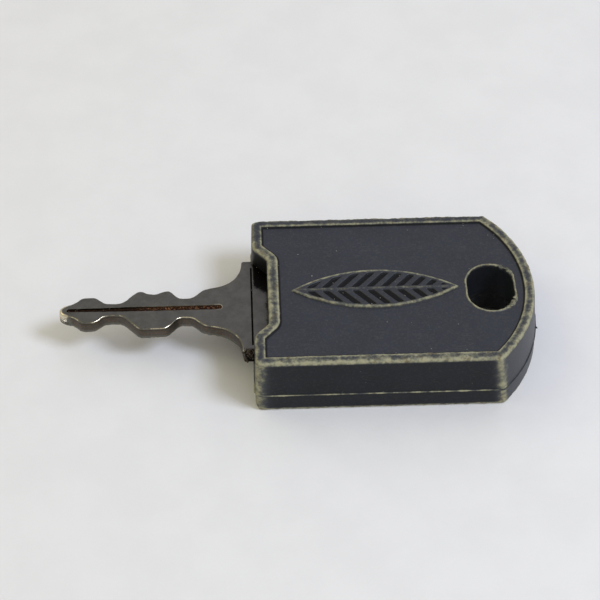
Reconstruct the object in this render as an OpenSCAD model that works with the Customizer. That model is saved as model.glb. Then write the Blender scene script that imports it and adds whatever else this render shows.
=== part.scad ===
// Key with a two-part moulded head. The blade lies along X with its tip at -X, the ring hole is at +X,
// and the head lies flat on Z = 0. The origin is under the middle of the whole key.
// Inside each module X is counted from the head's front face: +X runs back into the head.

/* [Head] */
// Length of the head, from its front face to the end of its nose
head_l = 38.7; // [37:0.1:42]
// Width of the head
head_w = 27.2; // [26.6:0.1:30]
// Thickness of the head
head_h = 9.5; // [9.3:0.1:11]
// Radius of the rounded nose
nose_r = 19.1; // [18:0.1:22]
// Radius of the two front corners
front_corner_r = 0.9; // [0.4:0.1:2]
// Height of the joint between the lower cover and the upper shell
seam_z = 3.2; // [3:0.1:3.4]
// Thickness of the outer walls
wall_t = 1.8; // [1.4:0.1:2]
// Thickness of the floor and of the roof
skin_t = 1.8; // [1.4:0.1:1.9]

/* [Rim and panel] */
// Width of the raised rim around each panel
rim_w = 1.4; // [1:0.1:2]
// Width of the rim along the back of the notch
notch_rim_w = 1.6; // [1:0.1:2]
// Depth of the panels below the rim
panel_depth = 0.4; // [0.2:0.05:0.6]
// Depth of the notch in the front edge
notch_depth = 2.0; // [1.5:0.1:2.2]
// Width of the notch across its back
notch_back_w = 12; // [10:0.1:13]
// Width of the notch across its mouth
notch_mouth_w = 16.4; // [15:0.1:17]

/* [Ring hole] */
// Length of the oval ring hole, across the head
ring_hole_l = 8.5; // [7:0.1:10]
// Width of the oval ring hole, along the head
ring_hole_w = 6.4; // [5:0.1:7.4]
// Distance from the head's front face to the middle of the ring hole
ring_hole_x = 32.7; // [32:0.1:33]
// How far the ring hole sits off the centre line, towards the far side
ring_hole_y = -0.3; // [-1:0.1:1]
// Thickness of the sleeve around the ring hole
ring_sleeve_t = 1.4; // [1:0.1:1.4]

/* [Leaf relief] */
// Length of the raised leaf on the panel
leaf_l = 23.5; // [18:0.1:24]
// Width of the raised leaf
leaf_w = 7.4; // [5:0.1:9]
// Height of the leaf above the panel
leaf_h = 0.35; // [0.15:0.01:0.35]
// Number of sunk veins on each side of the leaf
leaf_veins = 9; // [3:1:11]

/* [Blade] */
// Length of the blade that stands out of the head
blade_l = 26.7; // [26.3:0.1:27.2]
// Thickness of the blade and its tang
blade_t = 2; // [1.8:0.1:2.1]
// Height of the blade's upper face
blade_top_z = 6.4; // [6.3:0.1:6.5]
// Half-width of the flared shoulder
shoulder_half_w = 8.6; // [8.4:0.1:8.7]
// Radius of the hollow flare between the blade and its shoulder
flare_r = 4.3; // [4:0.1:4.4]
// Width of the groove along the middle of the blade
groove_w = 0.85; // [0.5:0.05:1]
// Depth of the groove in each face of the blade
groove_depth = 0.35; // [0.2:0.05:0.5]

/* [Tang and posts] */
// Length of the tang inside the head
tang_l = 24; // [22:0.1:25]
// Half-width of the tang behind its shoulder
tang_half_w = 6.4; // [5:0.1:6.6]
// Diameter of the moulded posts that hold the tang
post_d = 3.2; // [2.5:0.1:3.5]

/* [Transponder] */
// Diameter of the glass transponder capsule
capsule_d = 3.1; // [2:0.1:3.2]
// Length of the capsule
capsule_l = 13; // [10:0.1:13.5]

/* [Hidden] */
$fn = 96;
EPS = 0.05;                                   // overshoot that keeps a cut clear of its face
GAP = 0.05;                                   // assembly clearance on each side
SLIVER = 0.2;                                 // depth that a rib is sunk into the wall it grows from
front_x = (blade_l - head_l) / 2;             // head's front face, seen from the key's middle
nose_cx = head_l - nose_r;                    // centre of the nose arc
panel_z = head_h - panel_depth;
roof_z = panel_z - skin_t;
blade_z = blade_top_z - blade_t;
cavity_x = notch_depth + notch_rim_w + 0.6;   // where the hollow inside the head begins
shoulder_x = -1.6;                            // front of the shoulder, outside the head
tang_neck_x = 5.5;                            // where the tang narrows
post_xs = [9.5, 20];
socket_wall = 1;
lip_t = 0.8;
lip_h = 1.2;
groove_margin = 1.5;                          // metal left between the groove and the tip
groove_end = -4.4;
score_w = 0.2;                                // stop line scored across the shoulder
score_l = 14.6;
score_x = -0.22;
score_depth = 0.12;
capsule_y = 9.2;
capsule_x = 10;
capsule_z = skin_t + 0.6 + capsule_d / 2;
saddle_xs = [capsule_x + 3, capsule_x + capsule_l - 3];
rib_t = 1.2;
saddle_w = 2.8;
inner_corner_r = 0.3;                         // corners of the panels inside the rim
leaf_x = 16.8;                                // middle of the leaf
leaf_rim = 0.45;                              // plain border left around the veins
vein_w = 0.45;
vein_depth = 0.2;
vein_angle = 38;

// Half-width of the blade at distances out from the head: [distance, half-width].
// The cuts by the tip and by the head are the same on both edges.
tip_bits = [[25.5, 0.9], [24.8, 1.4], [24, 2.1], [23.5, 2.35], [22, 2.35], [20.8, 1.35],
            [19.8, 1.1], [18.3, 1.2], [17.7, 1.6]];
right_bits = [[16.1, 3.6], [15.7, 3.75], [12.2, 3.75], [11.7, 3.5]];
left_bits = [[16.2, 3.1], [15.7, 3.28], [14.6, 2.75], [13.6, 2.7], [12.4, 3.2], [11.8, 3.24]];
head_bits = [[10.5, 2], [9.9, 1.8], [8.5, 1.85], [7.8, 2.5], [7, 3.35], [5.9, 3.6]];
tip_r = 0.95;
shoulder_corner_r = 0.6;
flare_x = shoulder_x - flare_r;               // centre of each hollow flare
flare_y = shoulder_half_w - shoulder_corner_r;

// One edge of the blade as points; side is 1 for the left edge and -1 for the right.
function blade_edge(bits, side) =
    [for (bit = concat(tip_bits, bits, head_bits)) [-bit[0], side * bit[1]]];
function backwards(points) = [for (i = [len(points) - 1:-1:0]) points[i]];

// Plan of the head, drawn in by inset along its sides and nose and by front_inset at its front.
module head_plan(inset = 0, front_inset = 0, corner_r = front_corner_r) {
    half = head_w / 2 - inset;
    intersection() {
        union() {
            translate([front_inset + corner_r, -half]) square([head_l, 2 * half]);
            translate([front_inset, -half + corner_r]) square([head_l, 2 * (half - corner_r)]);
            for (side = [-1, 1])
                translate([front_inset + corner_r, side * (half - corner_r)]) circle(corner_r);
        }
        union() {
            translate([nose_cx, 0]) circle(nose_r - inset, $fn = 180);
            translate([0, -half]) square([nose_cx, 2 * half]);
        }
    }
}

// Plan of the notch in the front edge; grow widens it for the rim that follows it.
module notch_plan(grow = 0) {
    back = notch_back_w / 2 + grow * 0.6;
    mouth = notch_mouth_w / 2 + grow;
    depth = notch_depth + grow;
    polygon([[-1, -mouth], [0, -mouth], [depth, -back], [depth, back], [0, mouth], [-1, mouth]]);
}

// Oval plan of the ring hole: two round ends and a straight middle.
module ring_plan(grow = 0) {
    end_r = ring_hole_w / 2 + grow;
    end_y = (ring_hole_l - ring_hole_w) / 2;
    translate([ring_hole_x, ring_hole_y]) {
        for (side = [-1, 1])
            translate([0, side * end_y]) circle(end_r);
        translate([-end_r, -end_y]) square([2 * end_r, 2 * end_y]);
    }
}

// Slab of a plan between two heights.
module slab(z_low, z_high) {
    translate([0, 0, z_low]) linear_extrude(z_high - z_low) children();
}

// Hollow that the walls leave, clear of the sleeve around the ring hole.
module cavity(z_low, z_high, gap = 0) {
    slab(z_low, z_high)
        difference() {
            head_plan(wall_t + gap, cavity_x + gap);
            ring_plan(ring_sleeve_t + gap);
        }
}

// Slot in the shell's front wall that the blade's shoulder lies in.
module blade_slot(z_low, z_high, gap) {
    half = shoulder_half_w + gap;
    translate([-1, -half, z_low]) cube([cavity_x + 2, 2 * half, z_high - z_low]);
}

// Pointed leaf with veins sunk into it on both sides of its middle rib.
module leaf() {
    arc_r = (leaf_l * leaf_l + leaf_w * leaf_w) / (4 * leaf_w);
    step = leaf_l / (leaf_veins + 3);
    translate([leaf_x, 0, panel_z - SLIVER])
        difference() {
            leaf_slab(arc_r, SLIVER + leaf_h);
            translate([0, 0, SLIVER + leaf_h - vein_depth])
                intersection() {
                    leaf_slab(arc_r - leaf_rim, vein_depth + EPS);
                    for (i = [1:leaf_veins], side = [-1, 1])
                        translate([(i + 0.5) * step - leaf_l / 2, side * leaf_rim / 2, 0])
                            rotate(side * vein_angle)
                                translate([0, -vein_w / 2, 0]) cube([leaf_w, vein_w, 1]);
                }
        }
}

// Slab between two arcs: the leaf's outline, arc_r being measured from its own two centres.
module leaf_slab(arc_r, height) {
    centre_y = (leaf_l * leaf_l + leaf_w * leaf_w) / (4 * leaf_w) - leaf_w / 2;
    intersection_for (side = [-1, 1])
        translate([0, side * centre_y, 0]) cylinder(height, r = arc_r, $fn = 180);
}

// Upper shell: roof, walls, rim, panel, notch and the sockets that press on the tang.
module upper_shell() {
    color([0.24, 0.25, 0.27]) translate([front_x, 0, 0]) {
        difference() {
            union() {
                difference() {
                    slab(seam_z, head_h) head_plan();
                    slab(panel_z, head_h + EPS)
                        difference() {
                            head_plan(rim_w, rim_w, inner_corner_r);
                            notch_plan(notch_rim_w);
                        }
                    cavity(seam_z - EPS, roof_z);
                }
                for (x = post_xs)
                    translate([x, 0, blade_top_z])
                        cylinder(roof_z + SLIVER - blade_top_z, d = post_d + 2 * socket_wall);
                for (x = saddle_xs)
                    translate([x - rib_t / 2, capsule_y - saddle_w / 2, capsule_z + capsule_d / 2 + GAP])
                        cube([rib_t, saddle_w, roof_z + SLIVER - capsule_z - capsule_d / 2 - GAP]);
            }
            slab(blade_top_z, head_h + EPS) notch_plan();
            blade_slot(seam_z - EPS, blade_top_z, GAP);
            slab(-EPS, head_h + EPS) ring_plan();
            for (x = post_xs)
                translate([x, 0, blade_top_z - EPS])
                    cylinder(roof_z - blade_top_z + EPS, d = post_d + 2 * GAP);
        }
        leaf();
    }
}

// Lower cover: floor with a plain panel underneath, a locating lip, the tongue under the blade,
// the two posts that pass through the tang and the saddles under the capsule.
module lower_cover() {
    color([0.17, 0.17, 0.18]) translate([front_x, 0, 0])
        difference() {
            union() {
                difference() {
                    slab(0, seam_z) head_plan();
                    slab(-EPS, panel_depth) head_plan(rim_w, rim_w, inner_corner_r);
                    cavity(skin_t, seam_z + EPS);
                }
                locating_lip();
                blade_tongue();
                for (x = post_xs)
                    translate([x, 0, skin_t - SLIVER]) {
                        cylinder(roof_z - skin_t + SLIVER - GAP, d = post_d);
                        cylinder(blade_z - skin_t + SLIVER, d = post_d + 2 * socket_wall);
                    }
                for (x = saddle_xs) saddle(x);
            }
            slab(-EPS, head_h) ring_plan();
        }
}

// Lip that stands inside the upper shell's side walls, left open in front for the tang.
module locating_lip() {
    lip_x = tang_neck_x + 3;
    intersection() {
        slab(skin_t - SLIVER, seam_z + lip_h)
            difference() {
                head_plan(wall_t + GAP, cavity_x + GAP);
                head_plan(wall_t + GAP + lip_t, cavity_x + GAP + lip_t);
                ring_plan(ring_sleeve_t + GAP);
            }
        translate([lip_x, -head_w, 0]) cube([ring_hole_x - lip_x - 6, 2 * head_w, head_h]);
    }
}

// Tongue that closes the slot under the blade.
module blade_tongue() {
    half = shoulder_half_w - GAP;
    translate([0, -half, seam_z - SLIVER]) cube([cavity_x, 2 * half, blade_z - seam_z + SLIVER]);
}

// Rib with a round saddle for the capsule.
module saddle(x) {
    difference() {
        translate([x - rib_t / 2, capsule_y - saddle_w / 2, skin_t - SLIVER])
            cube([rib_t, saddle_w, capsule_z - skin_t + SLIVER - 0.4]);
        translate([x - rib_t, capsule_y, capsule_z])
            rotate([0, 90, 0]) cylinder(2 * rib_t, d = capsule_d + 2 * GAP);
    }
}

// Key blade: cut blank, flared shoulder and the drilled tang inside the head, all one plate.
module key_blade() {
    color([0.60, 0.58, 0.54]) translate([front_x, 0, 0])
        difference() {
            blank();
            for (z = [blade_z, blade_top_z]) blade_groove(z);
            translate([score_x - score_w / 2, -score_l / 2, blade_top_z - score_depth])
                cube([score_w, score_l, 1]);
            for (x = post_xs)
                translate([x, 0, blade_z - EPS]) cylinder(blade_t + 2 * EPS, d = post_d + 0.2);
        }
}

// The whole blank before its grooves and holes are cut.
module blank() {
    corner_x = shoulder_x + shoulder_corner_r + EPS;
    neck_half_w = head_bits[len(head_bits) - 1][1];
    each_as_plate() {
        polygon(concat(blade_edge(left_bits, 1), [[0, neck_half_w], [0, -neck_half_w]],
                       backwards(blade_edge(right_bits, -1))));
        translate([tip_r - blade_l, 0]) circle(tip_r, $fn = 48);
        difference() {
            translate([flare_x, -flare_y]) square([tang_neck_x - flare_x, 2 * flare_y]);
            for (side = [-1, 1])
                translate([flare_x, side * flare_y]) circle(flare_r);
        }
        translate([corner_x, -shoulder_half_w]) square([tang_neck_x - corner_x, 2 * shoulder_half_w]);
        translate([corner_x, -flare_y]) circle(shoulder_corner_r, $fn = 32);
        translate([corner_x, flare_y]) circle(shoulder_corner_r, $fn = 32);
        translate([tang_neck_x - 1, -tang_half_w]) square([tang_l - tang_neck_x + 1, 2 * tang_half_w]);
    }
}

// Each child's plan as a plate of the blade's thickness.
module each_as_plate() {
    for (i = [0:$children - 1])
        slab(blade_z, blade_top_z) children(i);
}

// Round-ended groove cut into the face at height z.
module blade_groove(z) {
    groove_start = groove_margin - blade_l;
    end_r = groove_w / 2;
    translate([0, 0, z - groove_depth]) {
        for (x = [groove_start + end_r, groove_end - end_r])
            translate([x, 0, 0]) cylinder(2 * groove_depth, r = end_r, $fn = 32);
        translate([groove_start + end_r, -end_r, 0])
            cube([groove_end - groove_start - groove_w, groove_w, 2 * groove_depth]);
    }
}

// Sealed glass capsule with round ends.
module transponder() {
    end_r = capsule_d / 2;
    color([0.55, 0.72, 0.66]) translate([front_x + capsule_x, capsule_y, capsule_z])
        rotate([0, 90, 0]) rotate_extrude($fn = 64)
            intersection() {
                union() {
                    translate([0, end_r]) square([end_r, capsule_l - 2 * end_r]);
                    for (y = [end_r, capsule_l - end_r])
                        translate([0, y]) circle(end_r, $fn = 64);
                }
                square([end_r, capsule_l]);
            }
}

key_blade();
upper_shell();
lower_cover();
transponder();
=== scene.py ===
"""A worn key with a thick moulded head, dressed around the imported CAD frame.

Every size inside the classes is in millimetres, counted from the head's front face where it is a
place along the key; MM turns it into the frame's metres when a mesh is written.
"""

import logging
import math
from dataclasses import dataclass, field
from enum import Enum

import bmesh
import bpy
import numpy as np
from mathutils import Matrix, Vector, geometry, noise


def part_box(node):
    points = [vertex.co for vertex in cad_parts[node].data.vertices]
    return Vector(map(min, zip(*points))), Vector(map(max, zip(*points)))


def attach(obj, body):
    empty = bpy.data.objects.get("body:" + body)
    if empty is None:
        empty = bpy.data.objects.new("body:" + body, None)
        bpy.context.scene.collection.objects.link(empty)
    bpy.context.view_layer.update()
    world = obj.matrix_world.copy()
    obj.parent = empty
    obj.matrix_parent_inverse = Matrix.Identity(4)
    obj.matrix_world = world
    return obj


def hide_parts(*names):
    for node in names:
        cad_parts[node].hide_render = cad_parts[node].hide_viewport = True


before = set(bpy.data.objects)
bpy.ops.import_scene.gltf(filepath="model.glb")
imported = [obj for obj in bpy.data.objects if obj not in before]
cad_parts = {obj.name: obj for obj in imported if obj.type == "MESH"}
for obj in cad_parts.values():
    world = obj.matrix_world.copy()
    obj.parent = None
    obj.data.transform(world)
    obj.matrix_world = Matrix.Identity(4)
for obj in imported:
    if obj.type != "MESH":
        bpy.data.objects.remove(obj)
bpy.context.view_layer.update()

MM = 0.001
LOG = logging.getLogger("key")


# --------------------------------------------------------------------------- colours and node helpers


def linear(hex_colour: str) -> tuple[float, float, float, float]:
    """Turn an sRGB hex colour into the linear values that shaders work in.

    Args:
        hex_colour: Six hex digits, with or without a leading #.

    Returns:
        Linear red, green and blue, and an alpha of 1.
    """
    digits = hex_colour.lstrip("#")
    channels = [int(digits[i:i + 2], 16) / 255 for i in (0, 2, 4)]
    curve = [c / 12.92 if c <= 0.04045 else ((c + 0.055) / 1.055) ** 2.4 for c in channels]
    return (curve[0], curve[1], curve[2], 1.0)


def add_node(tree: bpy.types.NodeTree, kind: str, inputs: dict | None = None, **settings) -> bpy.types.Node:
    """Add one node with its settings and its inputs.

    Args:
        tree: The shader or geometry tree that gets the node.
        kind: The node's type, such as ShaderNodeMath.
        inputs: Input name or index to a value, or to the output socket that is linked to it.
        **settings: The node's own properties, such as operation.

    Returns:
        The new node.
    """
    node = tree.nodes.new(kind)
    for name, value in settings.items():
        setattr(node, name, value)
    for key, value in (inputs or {}).items():
        if isinstance(value, bpy.types.NodeSocket):
            tree.links.new(value, node.inputs[key])
        else:
            node.inputs[key].default_value = value
    return node


@dataclass
class ShaderSheet:
    """A material under construction, with the few building blocks that every finish here shares."""

    name: str

    def __post_init__(self) -> None:
        """Make the material, its output and its coordinate source."""
        self.material = bpy.data.materials.new(self.name)
        self.material.use_nodes = True
        self.tree = self.material.node_tree
        self.tree.nodes.clear()
        self.coordinates = add_node(self.tree, "ShaderNodeTexCoord").outputs["Object"]

    def maths(self, operation: str, *values) -> bpy.types.NodeSocket:
        """Combine numbers or sockets with one Math operation and return the result's socket."""
        node = add_node(self.tree, "ShaderNodeMath", dict(enumerate(values)), operation=operation)
        return node.outputs[0]

    def mark(self, name: str) -> bpy.types.NodeSocket:
        """Return the mesh's own number of that name, such as how worn a place is."""
        return add_node(self.tree, "ShaderNodeAttribute", attribute_name=name).outputs["Fac"]

    def grain(self, size_mm: float, detail: float = 3, rough: float = 0.55,
              stretch: tuple[float, float, float] = (1, 1, 1), turn: float = 0.0) -> bpy.types.NodeSocket:
        """Noise with grains of a real size.

        Args:
            size_mm: Size of the largest grains.
            detail: Number of finer octaves.
            rough: Strength of each finer octave.
            stretch: How much longer the grains are along X, Y and Z.
            turn: Turn of the stretched grains about Z, in radians.

        Returns:
            The noise value's socket, around 0.5.
        """
        scale = [1 / (size_mm * MM * s) for s in stretch]
        mapping = add_node(self.tree, "ShaderNodeMapping",
                           {"Vector": self.coordinates, "Rotation": (0, 0, turn), "Scale": scale})
        node = add_node(self.tree, "ShaderNodeTexNoise",
                        {"Vector": mapping.outputs[0], "Scale": 1.0, "Detail": detail, "Roughness": rough})
        return node.outputs["Fac"]

    def ramp(self, value: float | bpy.types.NodeSocket, low: float, high: float, to_low: float = 0.0,
             to_high: float = 1.0) -> bpy.types.NodeSocket:
        """Smooth step from to_low to to_high as value goes from low to high."""
        node = add_node(self.tree, "ShaderNodeMapRange",
                        {"Value": value, "From Min": low, "From Max": high,
                         "To Min": to_low, "To Max": to_high}, interpolation_type="SMOOTHSTEP")
        return node.outputs[0]

    def blend(self, share: float | bpy.types.NodeSocket, first: tuple | bpy.types.NodeSocket,
              second: tuple | bpy.types.NodeSocket, mode: str = "MIX") -> bpy.types.NodeSocket:
        """Mix two colours by a share between 0 and 1 and return the colour's socket."""
        node = add_node(self.tree, "ShaderNodeMix", {"Factor": share, 6: first, 7: second},
                        data_type="RGBA", blend_type=mode)
        return node.outputs[2]

    def specks(self, spacing_mm: float, radius_mm: float, share: float) -> bpy.types.NodeSocket:
        """Round specks scattered in cells, such as dust or pin holes.

        Args:
            spacing_mm: Distance between neighbouring cells.
            radius_mm: Radius of a speck.
            share: Share of the cells that hold a speck.

        Returns:
            A mask that is 1 inside a speck.
        """
        cells = add_node(self.tree, "ShaderNodeTexVoronoi",
                         {"Vector": self.coordinates, "Scale": 1 / (spacing_mm * MM)})
        chosen = add_node(self.tree, "ShaderNodeSeparateColor", {0: cells.outputs["Color"]}).outputs[0]
        radius = radius_mm / spacing_mm
        inside = self.ramp(cells.outputs["Distance"], radius, radius * 0.6)
        return self.maths("MULTIPLY", inside, self.maths("LESS_THAN", chosen, share))

    def bump(self, height: bpy.types.NodeSocket, depth_mm: float,
             below: bpy.types.NodeSocket | None = None) -> bpy.types.NodeSocket:
        """Bump from a height of 0 to 1 that is depth_mm deep, on top of another normal."""
        inputs = {"Height": height, "Distance": depth_mm * MM, "Strength": 1.0}
        if below is not None:
            inputs["Normal"] = below
        return add_node(self.tree, "ShaderNodeBump", inputs).outputs[0]

    def finish(self, inputs: dict) -> bpy.types.Material:
        """Close the material with a Principled shader that has these inputs."""
        shader = add_node(self.tree, "ShaderNodeBsdfPrincipled", inputs)
        add_node(self.tree, "ShaderNodeOutputMaterial", {"Surface": shader.outputs[0]})
        return self.material


# --------------------------------------------------------------------------- finishes


@dataclass(frozen=True)
class WornNylon:
    """Black glass-filled nylon, moulded with a satin face, years in a pocket.

    The fibres come to the surface where it rubs, so every edge reads as a chalky, slightly yellow line while
    the sunk faces stay blue-black with a low sheen; part of their blue is a painted reflection of the cool
    light from behind.
    """

    name: str = "worn_glass_filled_nylon"
    # the blue of both face colours is partly the nylon's own tint and partly a painted reflection of the cool
    # light from behind
    face: str = "#282c34"
    face_dark: str = "#25282f"
    rubbed: str = "#9d9a7e"
    rubbed_grey: str = "#565a55"
    rubbed_brown: str = "#665b42"
    # near-black for dirt, and for painted shade at the rim's foot, in the notch and on the walls
    grime_and_shade: str = "#0b0b0b"
    dust: str = "#b9b6a8"
    face_roughness: float = 0.42
    rubbed_roughness: float = 0.72
    index_of_refraction: float = 1.47

    def build(self) -> bpy.types.Material:
        """Return the material, which reads its piece's marks of wear and of dirt with painted shade."""
        sheet = ShaderSheet(self.name)
        wear, grime_and_shade = sheet.mark("wear"), sheet.mark("grime_and_shade")
        mottle, cloud, fine = sheet.grain(0.9, 5, 0.62), sheet.grain(5.0, 6, 0.65), sheet.grain(0.2, 3)
        uneven = sheet.maths("ADD", sheet.maths("MULTIPLY", sheet.maths("SUBTRACT", mottle, 0.5), 1.4),
                             sheet.maths("MULTIPLY", sheet.maths("SUBTRACT", cloud, 0.5), 0.7))
        uneven = sheet.maths("ADD", uneven, sheet.maths("MULTIPLY", sheet.maths("SUBTRACT", fine, 0.5), 0.7))
        rubbed_through = sheet.ramp(sheet.maths("ADD", wear, uneven), 0.18, 1.18)
        base = sheet.blend(sheet.ramp(cloud, 0.35, 0.65), linear(self.face), linear(self.face_dark))
        dusty = sheet.ramp(sheet.grain(0.3, 3, 0.7), 0.45, 0.8, 0.0, 0.05)
        base = sheet.blend(dusty, base, linear(self.dust))
        scratch = self.scratches(sheet)
        base = sheet.blend(sheet.maths("MULTIPLY", scratch, 0.22), base, linear(self.rubbed_grey))
        worn_pale = sheet.maths("ADD", sheet.maths("MULTIPLY", wear, 0.35), mottle)
        pale = sheet.blend(sheet.ramp(worn_pale, 0.55, 0.98), linear(self.rubbed_grey), linear(self.rubbed))
        pale = sheet.blend(sheet.ramp(sheet.grain(1.1, 4), 0.53, 0.75), pale, linear(self.rubbed_brown))
        colour = sheet.blend(rubbed_through, base, pale)
        colour = sheet.blend(sheet.specks(1.9, 0.085, 0.22), colour, linear(self.dust))
        colour = sheet.blend(sheet.specks(0.8, 0.05, 0.13), colour, linear(self.dust))
        # The dirt mark darkens the colour here; the same mark carries the painted shade at the rim's foot, in
        # the notch and on the walls.
        colour = sheet.blend(sheet.maths("MULTIPLY", grime_and_shade, 0.9), colour, linear(self.grime_and_shade))
        glints = sheet.maths("MULTIPLY", sheet.specks(0.42, 0.06, 0.3), sheet.ramp(grime_and_shade, 0.75, 0.88))
        colour = sheet.blend(glints, colour, linear(self.dust))
        roughness = sheet.ramp(rubbed_through, 0, 1, self.face_roughness, self.rubbed_roughness)
        normal = sheet.bump(fine, 0.012)
        normal = sheet.bump(sheet.maths("MULTIPLY", rubbed_through, mottle), 0.05, normal)
        normal = sheet.bump(sheet.maths("MULTIPLY", scratch, -1.0), 0.008, normal)
        sheen = sheet.ramp(grime_and_shade, 0.1, 0.6, 0.5, 0.2)
        return sheet.finish({"Base Color": colour, "Roughness": roughness, "Normal": normal,
                             "IOR": self.index_of_refraction, "Specular IOR Level": sheen})

    @staticmethod
    def scratches(sheet: ShaderSheet) -> bpy.types.NodeSocket:
        """Two families of hair scratches, each a thin crest of stretched noise."""
        lines = []
        for turn, size in ((0.35, 0.5), (-1.1, 0.7)):
            stretched = sheet.grain(size, 2, 0.5, (14, 1, 1), turn)
            crest = sheet.maths("ABSOLUTE", sheet.maths("SUBTRACT", stretched, 0.5))
            lines.append(sheet.ramp(crest, 0.008, 0.0))
        patches = sheet.ramp(sheet.grain(3.0, 1), 0.55, 0.7)
        return sheet.maths("MULTIPLY", sheet.maths("MAXIMUM", *lines), patches)


@dataclass(frozen=True)
class DulledNickel:
    """Nickel plate on stamped brass, dulled by handling.

    The flat face is grey and slightly warm with a fine rolled grain, the edges are polished by the
    lock, and the groove shows brown brass where the cutter went through the plate.
    """

    name: str = "dulled_nickel_on_brass"
    plate: str = "#6f6e66"
    plate_dark: str = "#616059"
    polished: str = "#d6ccb6"
    bared: str = "#33231b"
    bared_bright: str = "#b98761"
    # near-black for dirt and pits, and for the painted shade on the shoulder and in the groove
    soot_and_shade: str = "#14110f"
    plate_roughness: float = 0.42
    polished_roughness: float = 0.22

    def build(self) -> bpy.types.Material:
        """Return the material; wear below zero is where a cutter went through the plate."""
        sheet = ShaderSheet(self.name)
        wear, grime_and_shade = sheet.mark("wear"), sheet.mark("grime_and_shade")
        rolled = sheet.grain(0.14, 3, 0.6, (14, 1, 1))
        cloud, pits = sheet.grain(1.6, 6, 0.7), sheet.grain(0.22, 3, 0.6)
        colour = sheet.blend(sheet.ramp(cloud, 0.3, 0.7), linear(self.plate_dark), linear(self.plate))
        uneven_wear = sheet.maths("ADD", wear, sheet.maths("SUBTRACT", pits, 0.5))
        colour = sheet.blend(sheet.ramp(uneven_wear, 0.3, 0.8), colour, linear(self.polished))
        dots = sheet.maths("MULTIPLY", sheet.specks(0.55, 0.07, 0.3), 0.6)
        colour = sheet.blend(dots, colour, linear(self.soot_and_shade))
        bare = sheet.blend(sheet.ramp(pits, 0.5, 0.72), linear(self.bared), linear(self.bared_bright))
        colour = sheet.blend(sheet.ramp(wear, -0.1, -0.5), colour, bare)
        # Where the dirt-and-shade mark is high the plate turns near-black: dirt at the shoulder's end, and
        # painted shade of the notch walls and in the groove.
        blackened = sheet.ramp(sheet.maths("ADD", grime_and_shade, sheet.maths("SUBTRACT", pits, 0.5)), 0.25, 0.85)
        colour = sheet.blend(blackened, colour, linear(self.soot_and_shade))
        glints = sheet.maths("MULTIPLY", sheet.specks(0.26, 0.045, 0.22), blackened)
        colour = sheet.blend(glints, colour, linear(self.polished))
        roughness = sheet.ramp(wear, 0.1, 0.9, self.plate_roughness, self.polished_roughness)
        pitted = sheet.maths("MULTIPLY", sheet.maths("SUBTRACT", pits, 0.5), 0.25)
        roughness = sheet.maths("ADD", roughness, pitted)
        normal = sheet.bump(rolled, 0.006)
        normal = sheet.bump(pits, 0.010, normal)
        return sheet.finish({"Base Color": colour, "Metallic": 1.0, "Roughness": roughness, "Normal": normal})


@dataclass(frozen=True)
class CapsuleGlass:
    """Soda-lime glass tube, fire-polished at its ends, with the greenish tint of its iron."""

    name: str = "fire_polished_glass"
    tint: str = "#c9ddd2"
    haze: str = "#9fb6aa"

    def build(self) -> bpy.types.Material:
        """Return the material, clear with a faint haze that varies along the tube."""
        sheet = ShaderSheet(self.name)
        haze = sheet.grain(1.2, 3)
        colour = sheet.blend(haze, linear(self.tint), linear(self.haze))
        return sheet.finish({"Base Color": colour, "Roughness": sheet.ramp(haze, 0.3, 0.8, 0.04, 0.14),
                             "Normal": sheet.bump(haze, 0.01), "IOR": 1.52, "Transmission Weight": 0.85})


@dataclass(frozen=True)
class MattPaper:
    """Uncoated white paper board: a flat, slightly warm white with a soft fibre mottle."""

    name: str = "uncoated_white_board"
    white: str = "#e9e9ea"
    shade: str = "#e6e6e7"

    def build(self) -> bpy.types.Material:
        """Return the material."""
        sheet = ShaderSheet(self.name)
        clouds = sheet.ramp(sheet.grain(9.0, 4), 0.35, 0.65)
        colour = sheet.blend(clouds, linear(self.white), linear(self.shade))
        return sheet.finish({"Base Color": colour, "Roughness": 0.9,
                             "Normal": sheet.bump(sheet.grain(0.6, 3), 0.02), "IOR": 1.45})


# --------------------------------------------------------------------------- mesh building


def fractal(points: np.ndarray, size: float, seed: int, octaves: int = 3) -> np.ndarray:
    """Smooth random values at points, the same on every run.

    Args:
        points: One point per row, in millimetres.
        size: Size of the largest bumps in millimetres.
        seed: Picks a different piece of the noise.
        octaves: Number of finer layers.

    Returns:
        One value per point, about -1 to 1.
    """
    shift = Vector((seed * 17.3, seed * 5.1, seed * 9.7))
    return np.array([noise.fractal(Vector(p) / size + shift, 1.0, 2.0, octaves) for p in points])


def smooth_step(value: np.ndarray, low: float, high: float) -> np.ndarray:
    """Smooth step from 0 at low to 1 at high, element by element."""
    share = np.clip((value - low) / (high - low), 0, 1)
    return share * share * (3 - 2 * share)


def rounded_corner(before: np.ndarray, corner: np.ndarray, after: np.ndarray, count: int) -> np.ndarray:
    """Points along a quadratic curve that rounds a corner.

    Args:
        before: Where the curve leaves the first side.
        corner: The sharp corner.
        after: Where it joins the second side.
        count: Number of points, both ends included.

    Returns:
        The points, one per row.
    """
    t = np.linspace(0, 1, count)[:, None]
    return (1 - t) ** 2 * before + 2 * t * (1 - t) * corner + t ** 2 * after


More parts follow.
